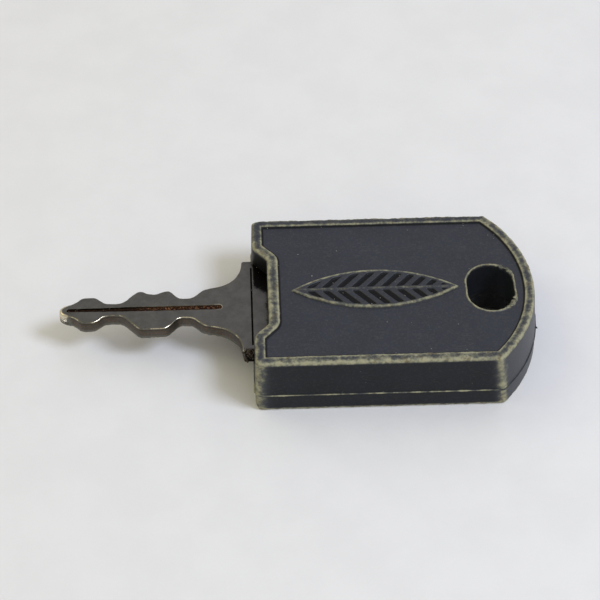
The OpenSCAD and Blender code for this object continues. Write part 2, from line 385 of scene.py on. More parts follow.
def rounded_outline(corners: list[tuple[float, float]], reach: float, spacing: float) -> np.ndarray:
    """Close a polygon, round its corners and spread points evenly along it.

    Args:
        corners: The sharp corners in order.
        reach: How far from a corner its rounding starts, at most.
        spacing: Distance between points.

    Returns:
        The points, one per row, without repeating the first.
    """
    points = np.array(corners, float)
    curve = []
    for i, corner in enumerate(points):
        back, ahead = points[i - 1] - corner, points[(i + 1) % len(points)] - corner
        back_length, ahead_length = np.linalg.norm(back), np.linalg.norm(ahead)
        cut = min(reach, 0.48 * back_length, 0.48 * ahead_length)
        curve.append(rounded_corner(corner + back / back_length * cut, corner,
                                    corner + ahead / ahead_length * cut, 7))
    return spread_evenly(np.vstack(curve), spacing)


def spread_evenly(path: np.ndarray, spacing: float) -> np.ndarray:
    """Spread points evenly along a closed path, one point per spacing millimetres."""
    closed = np.vstack([path, path[:1]])
    along = np.concatenate([[0], np.cumsum(np.linalg.norm(np.diff(closed, axis=0), axis=1))])
    count = int(round(along[-1] / spacing))
    places = np.linspace(0, along[-1], count, endpoint=False)
    return np.stack([np.interp(places, along, closed[:, k]) for k in range(2)], axis=1)


def outward(path: np.ndarray) -> np.ndarray:
    """Unit normals of a closed counter-clockwise path, pointing out of it."""
    along = np.roll(path, -1, axis=0) - np.roll(path, 1, axis=0)
    normal = np.stack([along[:, 1], -along[:, 0]], axis=1)
    return normal / np.linalg.norm(normal, axis=1, keepdims=True)


def oval(centre_x: float, half_x: float, half_y: float, count: int) -> np.ndarray:
    """Counter-clockwise oval with two round ends and a straight middle, its long way across the key.

    Args:
        centre_x: Middle of the oval along the key.
        half_x: Half its size along the key, which is also the radius of its ends.
        half_y: Half its size across the key.
        count: Number of points.

    Returns:
        The points, one per row.
    """
    angle = np.linspace(0, 2 * math.pi, 4 * count, endpoint=False)
    shift = np.where(np.sin(angle) >= 0, half_y - half_x, half_x - half_y)
    path = np.stack([centre_x + half_x * np.cos(angle), shift + half_x * np.sin(angle)], axis=1)
    return resample(path, count)


def resample(path: np.ndarray, count: int) -> np.ndarray:
    """Spread exactly count points evenly along a closed path."""
    closed = np.vstack([path, path[:1]])
    length = np.linalg.norm(np.diff(closed, axis=0), axis=1).sum()
    return spread_evenly(path, length / count)[:count]


class MeshDraft:
    """One piece while it is built: points in millimetres, faces, and how worn each point is and how much dirt
    and painted shade it carries.
    """

    def __init__(self) -> None:
        """Start with nothing."""
        self.points: list[np.ndarray] = []
        self.marks: dict[str, list[np.ndarray]] = {"wear": [], "grime_and_shade": []}
        self.faces: list[tuple[int, ...]] = []
        self.count = 0

    def add_points(self, points: np.ndarray, wear: float | np.ndarray,
                   grime_and_shade: float | np.ndarray) -> np.ndarray:
        """Add points with their marks.

        Args:
            points: One point per row.
            wear: How worn each is, or one value for all.
            grime_and_shade: How much dirt and painted shade each carries, or one value for all.

        Returns:
            The index of each new point.
        """
        self.points.append(points)
        for name, value in (("wear", wear), ("grime_and_shade", grime_and_shade)):
            self.marks[name].append(np.broadcast_to(value, (len(points),)).astype(float))
        self.count += len(points)
        return np.arange(self.count - len(points), self.count)

    def add_rings(self, rings: np.ndarray, wear: float | np.ndarray, grime_and_shade: float | np.ndarray,
                  outside: bool = True) -> np.ndarray:
        """Add closed rings and the strips of faces between them.

        Args:
            rings: Points as (ring, place along the ring, xyz), each ring counter-clockwise from above.
            wear: How worn each point is, in the same shape, or one value.
            grime_and_shade: How much dirt and painted shade each point carries, in the same way.
            outside: True where the rings grow outwards or run down an outer wall.

        Returns:
            The points' indices as (ring, place).
        """
        rows, columns = rings.shape[:2]
        wear = np.broadcast_to(wear, (rows, columns)).ravel()
        grime_and_shade = np.broadcast_to(grime_and_shade, (rows, columns)).ravel()
        index = self.add_points(rings.reshape(-1, 3), wear, grime_and_shade).reshape(rows, columns)
        here, there = index[:-1], index[1:]
        here_next, there_next = np.roll(here, -1, axis=1), np.roll(there, -1, axis=1)
        order = (here, there, there_next, here_next) if outside else (here, here_next, there_next, there)
        self.faces += [tuple(int(i) for i in face) for face in np.stack(order, axis=-1).reshape(-1, 4)]
        return index

    def fill(self, outer: np.ndarray, holes: list[np.ndarray] | None = None, upward: bool = True,
             inner: np.ndarray | None = None) -> None:
        """Fill a flat region between an outer loop and any holes.

        Args:
            outer: Indices of the outer loop.
            holes: Indices of each hole's loop.
            upward: True where the face looks up.
            inner: Indices of points inside the region that carry marks of their own.
        """
        everything = np.vstack(self.points)
        loops = [outer] + list(holes or [])
        index = np.concatenate(loops + ([inner] if inner is not None else []))
        flat = [Vector(everything[i][:2]) for i in index]
        edges, start = [], 0
        for loop in loops:
            edges += [(start + i, start + (i + 1) % len(loop)) for i in range(len(loop))]
            start += len(loop)
        spots, _, triangles, origin, _, _ = geometry.delaunay_2d_cdt(flat, edges, [], 1, 1e-7)
        centres = [sum((spots[i] for i in t), Vector((0, 0))) / 3 for t in triangles]
        rings = [everything[loop][:, :2] for loop in loops]
        for triangle, centre in zip(triangles, centres, strict=True):
            if not inside(centre, rings[0]) or any(inside(centre, ring) for ring in rings[1:]):
                continue
            corners = [int(index[origin[i][0]]) for i in triangle]
            if len(set(corners)) == 3:
                self.faces.append(tuple(corners if upward else corners[::-1]))

    def to_object(self, name: str, shift_x: float, material: bpy.types.Material) -> bpy.types.Object:
        """Write the piece as a mesh object in the frame.

        Args:
            name: The object's name.
            shift_x: Where the head's front face is in the frame, in millimetres.
            material: The finish.

        Returns:
            The new object, at the origin.
        """
        points = (np.vstack(self.points) + [shift_x, 0, 0]) * MM
        mesh = bpy.data.meshes.new(name)
        mesh.from_pydata(points.tolist(), [], self.faces)
        for mark, values in self.marks.items():
            attribute = mesh.attributes.new(mark, "FLOAT", "POINT")
            attribute.data.foreach_set("value", np.concatenate(values))
        mesh.polygons.foreach_set("use_smooth", [True] * len(mesh.polygons))
        mesh.materials.append(material)
        mesh.validate()
        mesh.update()
        piece = bpy.data.objects.new(name, mesh)
        bpy.context.scene.collection.objects.link(piece)
        return piece


def inside_any(spots: np.ndarray, loop: np.ndarray) -> np.ndarray:
    """Say for each spot whether it lies inside a closed loop."""
    return np.array([inside(Vector(spot), loop) for spot in spots])


def inside(spot: Vector, loop: np.ndarray) -> bool:
    """Say whether a spot lies inside a closed loop, by counting the sides it would cross."""
    x, y = spot
    x0, y0 = loop[:, 0], loop[:, 1]
    x1, y1 = np.roll(x0, -1), np.roll(y0, -1)
    spans = (y0 > y) != (y1 > y)
    rise = np.where(spans, y1 - y0, 1.0)
    return bool(np.count_nonzero(spans & (x < (x1 - x0) * (y - y0) / rise + x0)) % 2)


def roughen(rings: np.ndarray, depth: np.ndarray, seed: int, size: float,
            downward: bool = True) -> np.ndarray:
    """Push points of a ring grid inwards by uneven amounts, as rubbing and knocks do.

    Args:
        rings: Points as (ring, place, xyz).
        depth: How far each ring may be pushed in, in millimetres, one per ring or one per point.
        seed: Picks the noise.
        size: Size of the dents.
        downward: True where the rings go from the upper face out and down, False for a lower face.

    Returns:
        The pushed rings.
    """
    along = np.roll(rings, -1, axis=1) - np.roll(rings, 1, axis=1)
    across = np.gradient(rings, axis=0)
    normal = np.cross(across, along)
    normal /= np.maximum(np.linalg.norm(normal, axis=2, keepdims=True), 1e-9)
    if np.ndim(depth) == 1:
        depth = depth[:, None]
    depth = np.broadcast_to(depth, rings.shape[:2])
    value = np.zeros(rings.shape[:2])
    rows = np.flatnonzero(depth.max(axis=1) > 0)
    for row in rows:
        value[row] = fractal(rings[row], size, seed) + 0.35
    return rings - normal * (depth * value)[:, :, None] * (1 if downward else -1)


# --------------------------------------------------------------------------- the head


class Face(Enum):
    """Which face of the head a shell carries."""

    LEAF_SIDE = "upper"
    PLAIN_SIDE = "lower"


@dataclass
class HeadPlan:
    """The head's outline seen from above, at any distance in from its edge."""

    length: float
    width: float
    nose_radius: float = 19.1
    notch_depth: float = 2.0
    notch_back: float = 6.0
    notch_mouth: float = 8.2
    front_round: float = 0.95
    mouth_round: float = 1.5
    notch_round: float = 0.5
    nose_round: float = 0.5
    spacing: float = 0.13
    corner_points: int = 9
    far_share: float = 0.86
    notch_share: float = 1.07
    nose_share: float = 0.95

    def corners(self, inset: float, notched: bool, lean: float = 0.0) -> tuple[np.ndarray, float]:
        """Sharp corners of the outline at an inset, and the nose arc's radius there.

        Args:
            inset: Distance in from the edge; the far side, the nose and the notch take their shares.
            notched: True where the outline dips into the front notch.
            lean: How far the nose stands out further at this height.

        Returns:
            Eight corners from the near end of the nose arc round to the near front corner, and a radius.
        """
        near, far = self.width / 2 - inset, self.width / 2 - inset * self.far_share
        radius = self.nose_radius - inset * self.nose_share + lean
        centre = self.length - self.nose_radius
        depth = self.notch_depth if notched else 0.0
        back_inset = inset * (self.notch_share if notched else 1.0)
        mouth = self.notch_mouth + 0.391 * inset
        back = self.notch_back + (inset - 0.735 * back_inset) / 0.678
        return np.array([
            (centre + math.sqrt(radius ** 2 - near ** 2), -near),
            (centre + math.sqrt(radius ** 2 - far ** 2), far),
            (inset, far), (inset, mouth), (depth + back_inset, back),
            (depth + back_inset, -back), (inset, -mouth), (inset, -near)]), radius

    def counts(self) -> list[int]:
        """Number of points on each of the eight sides between the rounded corners."""
        corners, _ = self.corners(0, True)
        lengths = [float(np.linalg.norm(corners[(i + 1) % 8] - corners[i])) for i in range(8)]
        lengths[0] = 2 * self.nose_radius * math.asin(self.width / 2 / self.nose_radius)
        return [max(6, int(length / self.spacing)) for length in lengths]

    def ring(self, inset: float, notched: bool, lean: float = 0.0) -> np.ndarray:
        """The outline at an inset, as points that match from one inset to the next."""
        corners, radius = self.corners(inset, notched, lean)
        centre = np.array([self.length - self.nose_radius, 0.0])
        rounds = [self.nose_round, self.nose_round, self.front_round, self.mouth_round,
                  self.notch_round, self.notch_round, self.mouth_round, self.front_round]
        hollow = [False, False, False, False, True, True, False, False]
        reach = [max(0.12, r + inset * (1 if h else -0.75)) * (1.0 if i in (2, 7) else 0.45)
                 for i, (r, h) in enumerate(zip(rounds, hollow, strict=True))]
        start = math.atan2(corners[0][1], corners[0][0] - centre[0])
        end = math.atan2(corners[1][1], corners[1][0] - centre[0])

        def on_nose(angle: float) -> np.ndarray:
            """Return the point of the nose's arc at an angle."""
            return centre + radius * np.array([math.cos(angle), math.sin(angle)])

        path = []
        for i, count in enumerate(self.counts()):
            here, ahead = corners[i], corners[(i + 1) % 8]
            behind = corners[i - 1]
            if i == 0:
                leave = on_nose(start + reach[0] / radius)
                arrive = here + (behind - here) / np.linalg.norm(behind - here) * reach[0]
            elif i == 1:
                arrive = on_nose(end - reach[1] / radius)
                leave = here + (ahead - here) / np.linalg.norm(ahead - here) * reach[1]
            else:
                arrive = here + (behind - here) / np.linalg.norm(behind - here) * reach[i]
                leave = here + (ahead - here) / np.linalg.norm(ahead - here) * reach[i]
            path.append(rounded_corner(arrive, here, leave, self.corner_points))
            steps = (np.arange(count) + 1) / (count + 1)
            if i == 0:
                span = np.linspace(start + reach[0] / radius, end - reach[1] / radius, count + 2)[1:-1]
                path.append(np.array([on_nose(a) for a in span]))
            else:
                stop = ahead + (here - ahead) / np.linalg.norm(here - ahead) * reach[(i + 1) % 8]
                path.append(leave + steps[:, None] * (stop - leave))
        return np.vstack(path)

    def corner_wear(self, ring: np.ndarray) -> np.ndarray:
        """How strongly each point of the outer ring sits on one of the upright corners."""
        corners, _ = self.corners(0, False)
        strength = np.zeros(len(ring))
        for i, width in ((0, 0.85), (1, 0.7), (2, 0.9), (7, 1.35)):
            distance = np.linalg.norm(ring - corners[i], axis=1)
            strength = np.maximum(strength, np.exp(-(distance / width) ** 2))
        return strength


@dataclass
class RingHole:
    """The oval hole for the key ring, with its torn and rubbed lip."""

    centre_x: float = 32.7
    centre_y: float = -0.3
    half_x: float = 3.2
    half_y: float = 4.25
    points: int = 220

    def loop(self, grow: float, height: float, tear: float = 0.0) -> np.ndarray:
        """One loop of the hole.

        Args:
            grow: Distance out from the hole's wall.
            height: Height of the loop.
            tear: How far the loop may wander where the lip is torn.

        Returns:
            The points of the loop, one per row.
        """
        path = oval(self.centre_x, self.half_x + grow, self.half_y + grow, self.points) + [0, self.centre_y]
        path = path + outward(path) * (0.8 * max(grow, 0) * self.torn(path))[:, None]
        if tear:
            spots = np.column_stack([path, np.full(len(path), height)])
            wander = fractal(spots, 0.55, 21) * (0.12 + 1.3 * self.torn(path))
            path = path - outward(path) * (tear * wander)[:, None]
        return np.column_stack([path, np.full(len(path), height)])

    def torn(self, path: np.ndarray) -> np.ndarray:
        """How torn the lip is at each point: most at the two corners nearest the nose."""
        angle = np.arctan2(path[:, 1], path[:, 0] - self.centre_x)
        tears = [(0.9, 0.35), (-0.85, 0.32)]
        return sum(np.exp(-((angle - middle) / width) ** 2) for middle, width in tears)


@dataclass
class HeadShell:
    """One moulded half of the head: rim, sunk panel, outer wall and its half of the ring hole."""

    face: Face
    plan: HeadPlan
    hole: RingHole
    top: float
    seam: float
    panel_depth: float = 0.4
    rim: float = 1.38
    edge_round: float = 0.42
    draft: float = 0.12
    nose_lean: float = 0.65
    wall: float = 1.8
    cavity_front: float = 4.2
    skin_thickness: float = 1.8
    roof: float = 7.3
    sleeve: float = 1.4
    post_radius: float = 1.6
    post_places: tuple = (9.5, 20.0)
    blade_top: float = 6.4
    ledge_drop: float = 0.1
    hole_step: float = 0.95

    def profile(self) -> list[tuple[float, float, float, float, float]]:
        """Cross-section from the panel out over the rim and down the wall to the parting line.

        Returns:
            Rows of (inset, height below the face, wear, dirt with painted shade, roughening depth).
        """
        panel, rim, edge = self.panel_depth, self.rim, self.edge_round
        # The panel's foot along the rim is darkened: painted shade under the rim, together with dirt caught
        # in the corner.
        rows = [(rim + 0.44, panel, 0.0, 0.0, 0.0), (rim + 0.34, panel, 0.0, 0.1, 0.0),
                (rim + 0.25, panel, 0.0, 0.55, 0.0), (rim + 0.15, panel - 0.02, 0.0, 0.95, 0.0),
                (rim + 0.09, panel - 0.09, 0.0, 0.85, 0.0), (rim + 0.05, panel * 0.5, 0.25, 0.2, 0.01),
                (rim + 0.01, 0.14, 0.75, 0.0, 0.03), (rim - 0.05, 0.06, 1.0, 0.0, 0.05),
                (rim - 0.14, 0.02, 0.85, 0.0, 0.05), (rim - 0.25, 0.0, 0.6, 0.0, 0.04)]
        flat_inner, flat_outer = rim - 0.4, edge + 0.1
        for share in (0, 0.33, 0.66, 1):
            place = flat_inner + (flat_outer - flat_inner) * share
            rows.append((place, 0.0, 0.27 + 0.4 * abs(share - 0.4), 0.0, 0.025))
        for step in range(8):
            angle = math.pi / 2 * step / 7
            rows.append((edge * (1 - math.sin(angle)), edge * (1 - math.cos(angle)),
                         0.6 + 0.35 * math.sin(2 * angle), 0.0, 0.035 + 0.05 * math.sin(2 * angle)))
        return rows

    def wall_heights(self) -> list[float]:
        """Heights of the rings down the outer wall, from just under the edge to the parting line."""
        side = 1 if self.face is Face.LEAF_SIDE else -1
        edge = self.top - self.edge_round if side > 0 else self.edge_round
        near_edge = [edge - side * step for step in (0.12, 0.26, 0.42, 0.6)]
        wall = np.linspace(near_edge[-1], self.seam + side * 0.3, 16 if side > 0 else 7)[1:]
        return near_edge + list(wall) + [self.seam + side * step for step in (0.2, 0.12, 0.06, 0.0)]

    def wall_inset(self, height: float) -> float:
        """Inset of the drafted wall at a height: it leans out towards the parting line."""
        reach = self.top - self.seam if self.face is Face.LEAF_SIDE else self.seam
        share = 1 - abs(height - self.seam) / reach
        return -self.draft * share

    def skin(self) -> MeshDraft:
        """The shell's outer skin and its half of the ring hole."""
        draft = MeshDraft()
        up = self.face is Face.LEAF_SIDE
        side = 1 if up else -1
        face_z = self.top if up else 0.0
        outline = self.plan.ring(0, up)
        corner = self.plan.corner_wear(outline)
        rings, wear, grime_and_shade, depth = [], [], [], []

        def push(inset: float, height: float, worn: float | np.ndarray, dirt_and_shade: float | np.ndarray,
                 rough: float | np.ndarray, notched: bool) -> None:
            """Add one ring of the skin with its marks.

            Args:
                inset: Distance in from the outline.
                height: Level of the ring.
                worn: Wear, as one value or one for each point.
                dirt_and_shade: Dirt with painted shade, in the same way.
                rough: Depth of the unevenness, in the same way.
                notched: True where the outline has the front notch.
            """
            ring = self.plan.ring(inset, notched, self.nose_lean * (1 - height / self.top))
            rings.append(np.column_stack([ring, np.full(len(ring), height)]))
            wear.append(np.broadcast_to(worn, (len(ring),)))
            grime_and_shade.append(np.broadcast_to(dirt_and_shade, (len(ring),)))
            depth.append(np.broadcast_to(rough, (len(ring),)))

        near_side = smooth_step(-outline[:, 1], 12.5, 13.4)
        in_notch = smooth_step(outline[:, 0], 0.05, 0.4) * (np.abs(outline[:, 1]) < 9) * (outline[:, 0] < 5)
        nose_side = smooth_step(outline[:, 0], 32.0, 34.0)
        notch_side = (outline[:, 0] < 5) * smooth_step(9.5 - np.abs(outline[:, 1] - 1), 0, 1.5)
        extra = 0.24 * near_side + 0.18 * nose_side + 0.2 * notch_side
        for inset, drop, worn, dirt_and_shade, rough in self.profile():
            push(inset, face_z - side * drop, worn + extra * (worn > 0.2), dirt_and_shade,
                 rough * (1 + 0.5 * near_side), up)

        def push_wall(height: float, notched: bool) -> None:
            """Add one ring of the outer wall, worn most at its edges and at the seam.

            Args:
                height: Level of the ring.
                notched: True where the outline has the front notch.
            """
            near_seam = math.exp(-((height - self.seam) / 0.1) ** 2)
            near_edge = math.exp(-((abs(height - face_z) - self.edge_round) / 0.13) ** 2)
            foot = 0.6 * near_side * (not up)
            worn = 0.02 + 1.0 * corner + (0.75 - 0.6 * nose_side) * near_seam
            worn = worn + near_edge * (0.25 + 0.2 * near_side + foot)
            # Painted shade: the walls down into the front notch are darkened, and kept unworn, where the
            # notch shades them.
            shade = in_notch * smooth_step(np.array(face_z - height), 0.5, 0.9) * notched
            # Handling dirt with painted shade: the walls, away from their edges, corners and seam and all but
            # the nose, are darkened, which also stands for the walls getting less light than the panel.
            handling_grime_and_shade = 0.56 * (1 - near_edge) * (1 - np.clip(1.5 * corner, 0, 1)) * (1 - near_seam)
            handling_grime_and_shade = handling_grime_and_shade * (1 - 0.9 * nose_side)
            push(self.wall_inset(height) - 0.04 * near_seam, height, worn * (1 - shade),
                 np.maximum(0.9 * shade, handling_grime_and_shade), 0.035 * corner + 0.02 * near_seam, notched)

        ledge = self.blade_top - self.ledge_drop
        notched = up
        for height in self.wall_heights():
            if notched and height < ledge:
                push_wall(ledge, True)
                push_wall(ledge - 0.02, False)
                notched = False
            push_wall(height, notched)
        push(0.25, self.seam, 0.2, 0.0, 0.0, False)
        stack = roughen(np.array(rings), np.array(depth), 3 if up else 8, 0.9, up)
        stack[:, :, 2] = np.maximum(stack[:, :, 2], 0.0)
        index = draft.add_rings(stack, np.array(wear), np.array(grime_and_shade), outside=up)
        hole = self.hole_wall(draft, up)
        draft.fill(index[0], [hole[0]], upward=up)
        self.hollow(draft, index[-1], hole[-1], up)
        return draft

    def hollow(self, draft: MeshDraft, seam_loop: np.ndarray, hole_loop: np.ndarray, up: bool) -> None:
        """Add the seam face and the inside: cavity, sleeve around the ring hole, and posts.

        Args:
            draft: The shell so far.
            seam_loop: Indices of the outer loop at the parting line.
            hole_loop: Indices of the ring hole's loop at the parting line.
            up: True for the upper shell.
        """
        ceiling = self.roof if up else self.skin_thickness
        cavity = self.cavity_outline()
        sleeve = oval(self.hole.centre_x, self.hole.half_x + self.sleeve, self.hole.half_y + self.sleeve, 90)
        sleeve += [0, self.hole.centre_y]
        keep = inside_any(sleeve, cavity)
        sleeve = np.vstack([self.joined_sleeve(cavity, sleeve)]) if not keep.all() else sleeve
        walls = [self.step(draft, cavity, (self.seam, ceiling), outside=up)]
        pillars = [self.step(draft, sleeve, (self.seam, ceiling), outside=not up)]
        tip = self.roof if not up else self.seam
        if not up:
            for place in self.post_places:
                post = oval(place, self.post_radius, self.post_radius, 40)
                loops = self.step(draft, post, (tip, ceiling), outside=True)
                draft.fill(loops[0], upward=True)
                pillars.append(loops)
        draft.fill(seam_loop, [walls[0][0]], upward=not up)
        draft.fill(walls[0][-1], [p[-1] for p in pillars], upward=not up)
        draft.fill(pillars[0][0], [hole_loop], upward=not up)

    def cavity_outline(self) -> np.ndarray:
        """Outline of the room inside the head, counter-clockwise."""
        side = self.plan.width / 2 - self.wall
        radius = self.plan.nose_radius - self.wall
        centre = self.plan.length - self.plan.nose_radius
        span = math.asin(side / radius)
        nose = [(centre + radius * math.cos(a), radius * math.sin(a)) for a in np.linspace(-span, span, 60)]
        return np.array([(self.cavity_front, side), (self.cavity_front, -side)] + nose)

    @staticmethod
    def joined_sleeve(cavity: np.ndarray, sleeve: np.ndarray) -> np.ndarray:
        """Draw the sleeve in until it stays inside the room."""
        centre = sleeve.mean(axis=0)
        grown = sleeve.copy()
        for i, spot in enumerate(sleeve):
            share = 1.0
            while not inside(Vector(centre + (spot - centre) * share * 1.03), cavity):
                share -= 0.01
            grown[i] = centre + (spot - centre) * share
        return grown

    @staticmethod
    def step(draft: MeshDraft, outline: np.ndarray, heights: tuple, outside: bool) -> np.ndarray:
        """Add an upright wall over an outline and return its loops' indices."""
        rings = np.array([np.column_stack([outline, np.full(len(outline), height)]) for height in heights])
        return draft.add_rings(rings, 0.0, 0.0, outside)

    def hole_wall(self, draft: MeshDraft, up: bool) -> np.ndarray:
        """Add the ring hole's lip and wall, and return the indices of its loops."""
        side = 1 if up else -1
        face = (self.top if up else 0.0) - side * self.panel_depth
        rows = [(0.48, 0.0, 0.0, 0.0), (0.37, 0.0, 0.2, 0.1), (0.30, 0.03, 0.6, 0.4), (0.24, 0.09, 0.95, 0.7),
                (0.17, 0.13, 1.05, 0.9), (0.10, 0.11, 0.95, 1.0), (0.03, 0.05, 0.75, 1.0),
                (0.0, -0.06, 0.45, 0.8),
                (-0.02, -0.2, 0.2, 0.5), (0.0, -0.45, 0.0, 0.0)]
        tear = 0.42 if up else 0.1
        loops = [self.hole.loop(grow, face + side * rise, tear * torn) for grow, rise, _, torn in rows]
        wear = [np.full(self.hole.points, w) for _, _, w, _ in rows]
        for height in np.linspace(face - side * 0.8, self.seam, 8):
            near_seam = math.exp(-((height - self.seam) / 0.15) ** 2)
            step = -0.14 if (not up and height < self.hole_step) else 0.0
            loops.append(self.hole.loop(step - 0.1 * near_seam, height, 0.05 * near_seam))
            wear.append(np.full(self.hole.points, 0.55 * near_seam))
        grime_and_shade = np.array([np.full(self.hole.points, 0.0 if w.max() > 0.05 else 0.35) for w in wear])
        grime_and_shade[0] = 0
        return draft.add_rings(np.array(loops), np.array(wear), grime_and_shade, outside=not up)


@dataclass
class LeafRelief:
    """The plain leaf that stands on the panel, shaped by a rule in Geometry Nodes."""

    centre_x: float = 16.8
    panel_z: float = 9.1
    length: float = 23.5
    width: float = 7.4
    height: float = 0.34
    veins: int = 9
    slant: float = 0.9
    pit_depth: float = 0.28
    columns: int = 330
    rows: int = 100

    def build(self, shift_x: float, material: bpy.types.Material) -> bpy.types.Object:
        """Run the leaf's node tree once and return the result as a plain, closed mesh object.

        Args:
            shift_x: Where the head's front face is in the frame, in millimetres.
            material: The finish.

        Returns:
            The leaf, at the origin, with its place in its mesh.
        """
        tree = self.node_tree()
        sizes = {"Length": self.length * MM, "Width": self.width * MM, "Height": self.height * MM,
                 "Pitch": self.length / (self.veins + 2.5) * MM, "Slant": self.slant,
                 "Pit Depth": self.pit_depth * MM, "Centre X": (shift_x + self.centre_x) * MM,
                 "Base Z": self.panel_z * MM, "Finish": material}
        return realised("leaf_relief", tree, sizes)

    def node_tree(self) -> bpy.types.NodeTree:
        """Build the tree: a grid bent to the leaf's outline, raised, and sunk between its veins."""
        tree, values = new_geometry_tree("leaf_relief", {
            "Length": "NodeSocketFloat", "Width": "NodeSocketFloat", "Height": "NodeSocketFloat",
            "Pitch": "NodeSocketFloat", "Slant": "NodeSocketFloat", "Pit Depth": "NodeSocketFloat",
            "Centre X": "NodeSocketFloat", "Base Z": "NodeSocketFloat", "Finish": "NodeSocketMaterial"})

        def maths(operation: str, *terms: float | bpy.types.NodeSocket) -> bpy.types.NodeSocket:
            """Add a maths node and return its result."""
            return add_node(tree, "ShaderNodeMath", dict(enumerate(terms)), operation=operation).outputs[0]

        def step(value: bpy.types.NodeSocket, low: float, high: float) -> bpy.types.NodeSocket:
            """Smooth step from 0 to 1 between two distances in millimetres.

            Args:
                value: The distance in metres.
                low: Where it starts.
                high: Where it ends.

            Returns:
                The node's result.
            """
            return add_node(tree, "ShaderNodeMapRange",
                            {"Value": value, "From Min": low * MM, "From Max": high * MM},
                            interpolation_type="SMOOTHSTEP").outputs[0]

        grid = add_node(tree, "GeometryNodeMeshGrid", {"Size X": 2.0, "Size Y": 2.0,
                                                       "Vertices X": self.columns, "Vertices Y": self.rows})
        place = add_node(tree, "ShaderNodeSeparateXYZ",
                         {0: add_node(tree, "GeometryNodeInputPosition").outputs[0]})
        x = maths("MULTIPLY", place.outputs[0], maths("MULTIPLY", values["Length"], 0.5))
        arc_top = maths("ADD", maths("MULTIPLY", values["Length"], values["Length"]),
                        maths("MULTIPLY", values["Width"], values["Width"]))
        arc = maths("DIVIDE", arc_top, maths("MULTIPLY", values["Width"], 4.0))
        rise = maths("SQRT", maths("SUBTRACT", maths("MULTIPLY", arc, arc), maths("MULTIPLY", x, x)))
        half = maths("SUBTRACT", rise, maths("SUBTRACT", arc, maths("MULTIPLY", values["Width"], 0.5)))
        half = maths("MAXIMUM", half, 0.00001)
        y = maths("MULTIPLY", place.outputs[1], half)
        from_rib = maths("ABSOLUTE", y)
        from_edge = maths("SUBTRACT", half, from_rib)
        phase = maths("DIVIDE", maths("SUBTRACT", x, maths("MULTIPLY", from_rib, values["Slant"])),
                      values["Pitch"])
        off_middle = maths("ABSOLUTE", maths("SUBTRACT", maths("FRACT", maths("ADD", phase, 50.0)), 0.5))
        between = maths("SUBTRACT", 1.0, step(maths("MULTIPLY", off_middle, MM), 0.16, 0.30))
        inside_leaf = maths("MULTIPLY", step(from_rib, 0.22, 0.5), step(from_edge, 0.62, 0.95))
        pit = maths("MULTIPLY", between, inside_leaf)
        edge = step(from_edge, 0.0, 0.3)
        lifted = maths("SUBTRACT", maths("MULTIPLY", values["Height"], edge),
                       maths("MULTIPLY", values["Pit Depth"], pit))
        z = maths("ADD", values["Base Z"], maths("SUBTRACT", lifted, 0.03 * MM))
        moved = add_node(tree, "ShaderNodeCombineXYZ", {0: maths("ADD", x, values["Centre X"]), 1: y, 2: z})
        shaped = add_node(tree, "GeometryNodeSetPosition",
                          {"Geometry": grid.outputs["Mesh"], "Position": moved.outputs[0]})
        merged = add_node(tree, "GeometryNodeMergeByDistance",
                          {"Geometry": shaped.outputs[0], "Distance": 0.00002})
        border = maths("SUBTRACT", step(from_edge, 0.05, 0.2), step(from_edge, 0.42, 0.75))
        rib = maths("SUBTRACT", 1.0, step(from_rib, 0.1, 0.3))
        worn = maths("MAXIMUM", maths("MULTIPLY", border, 0.85), maths("MULTIPLY", rib, 0.5))
        worn = maths("MULTIPLY", worn, maths("SUBTRACT", 1.0, pit))
        geometry_now = grid.outputs["Mesh"]
        for name, value in (("wear", worn), ("grime_and_shade", pit)):
            geometry_now = add_node(tree, "GeometryNodeStoreNamedAttribute",
                                    {"Geometry": geometry_now, "Name": name, "Value": value},
                                    data_type="FLOAT", domain="POINT").outputs[0]
        tree.links.new(geometry_now, shaped.inputs["Geometry"])
        close_geometry_tree(tree, merged.outputs[0], values["Finish"])
        return tree


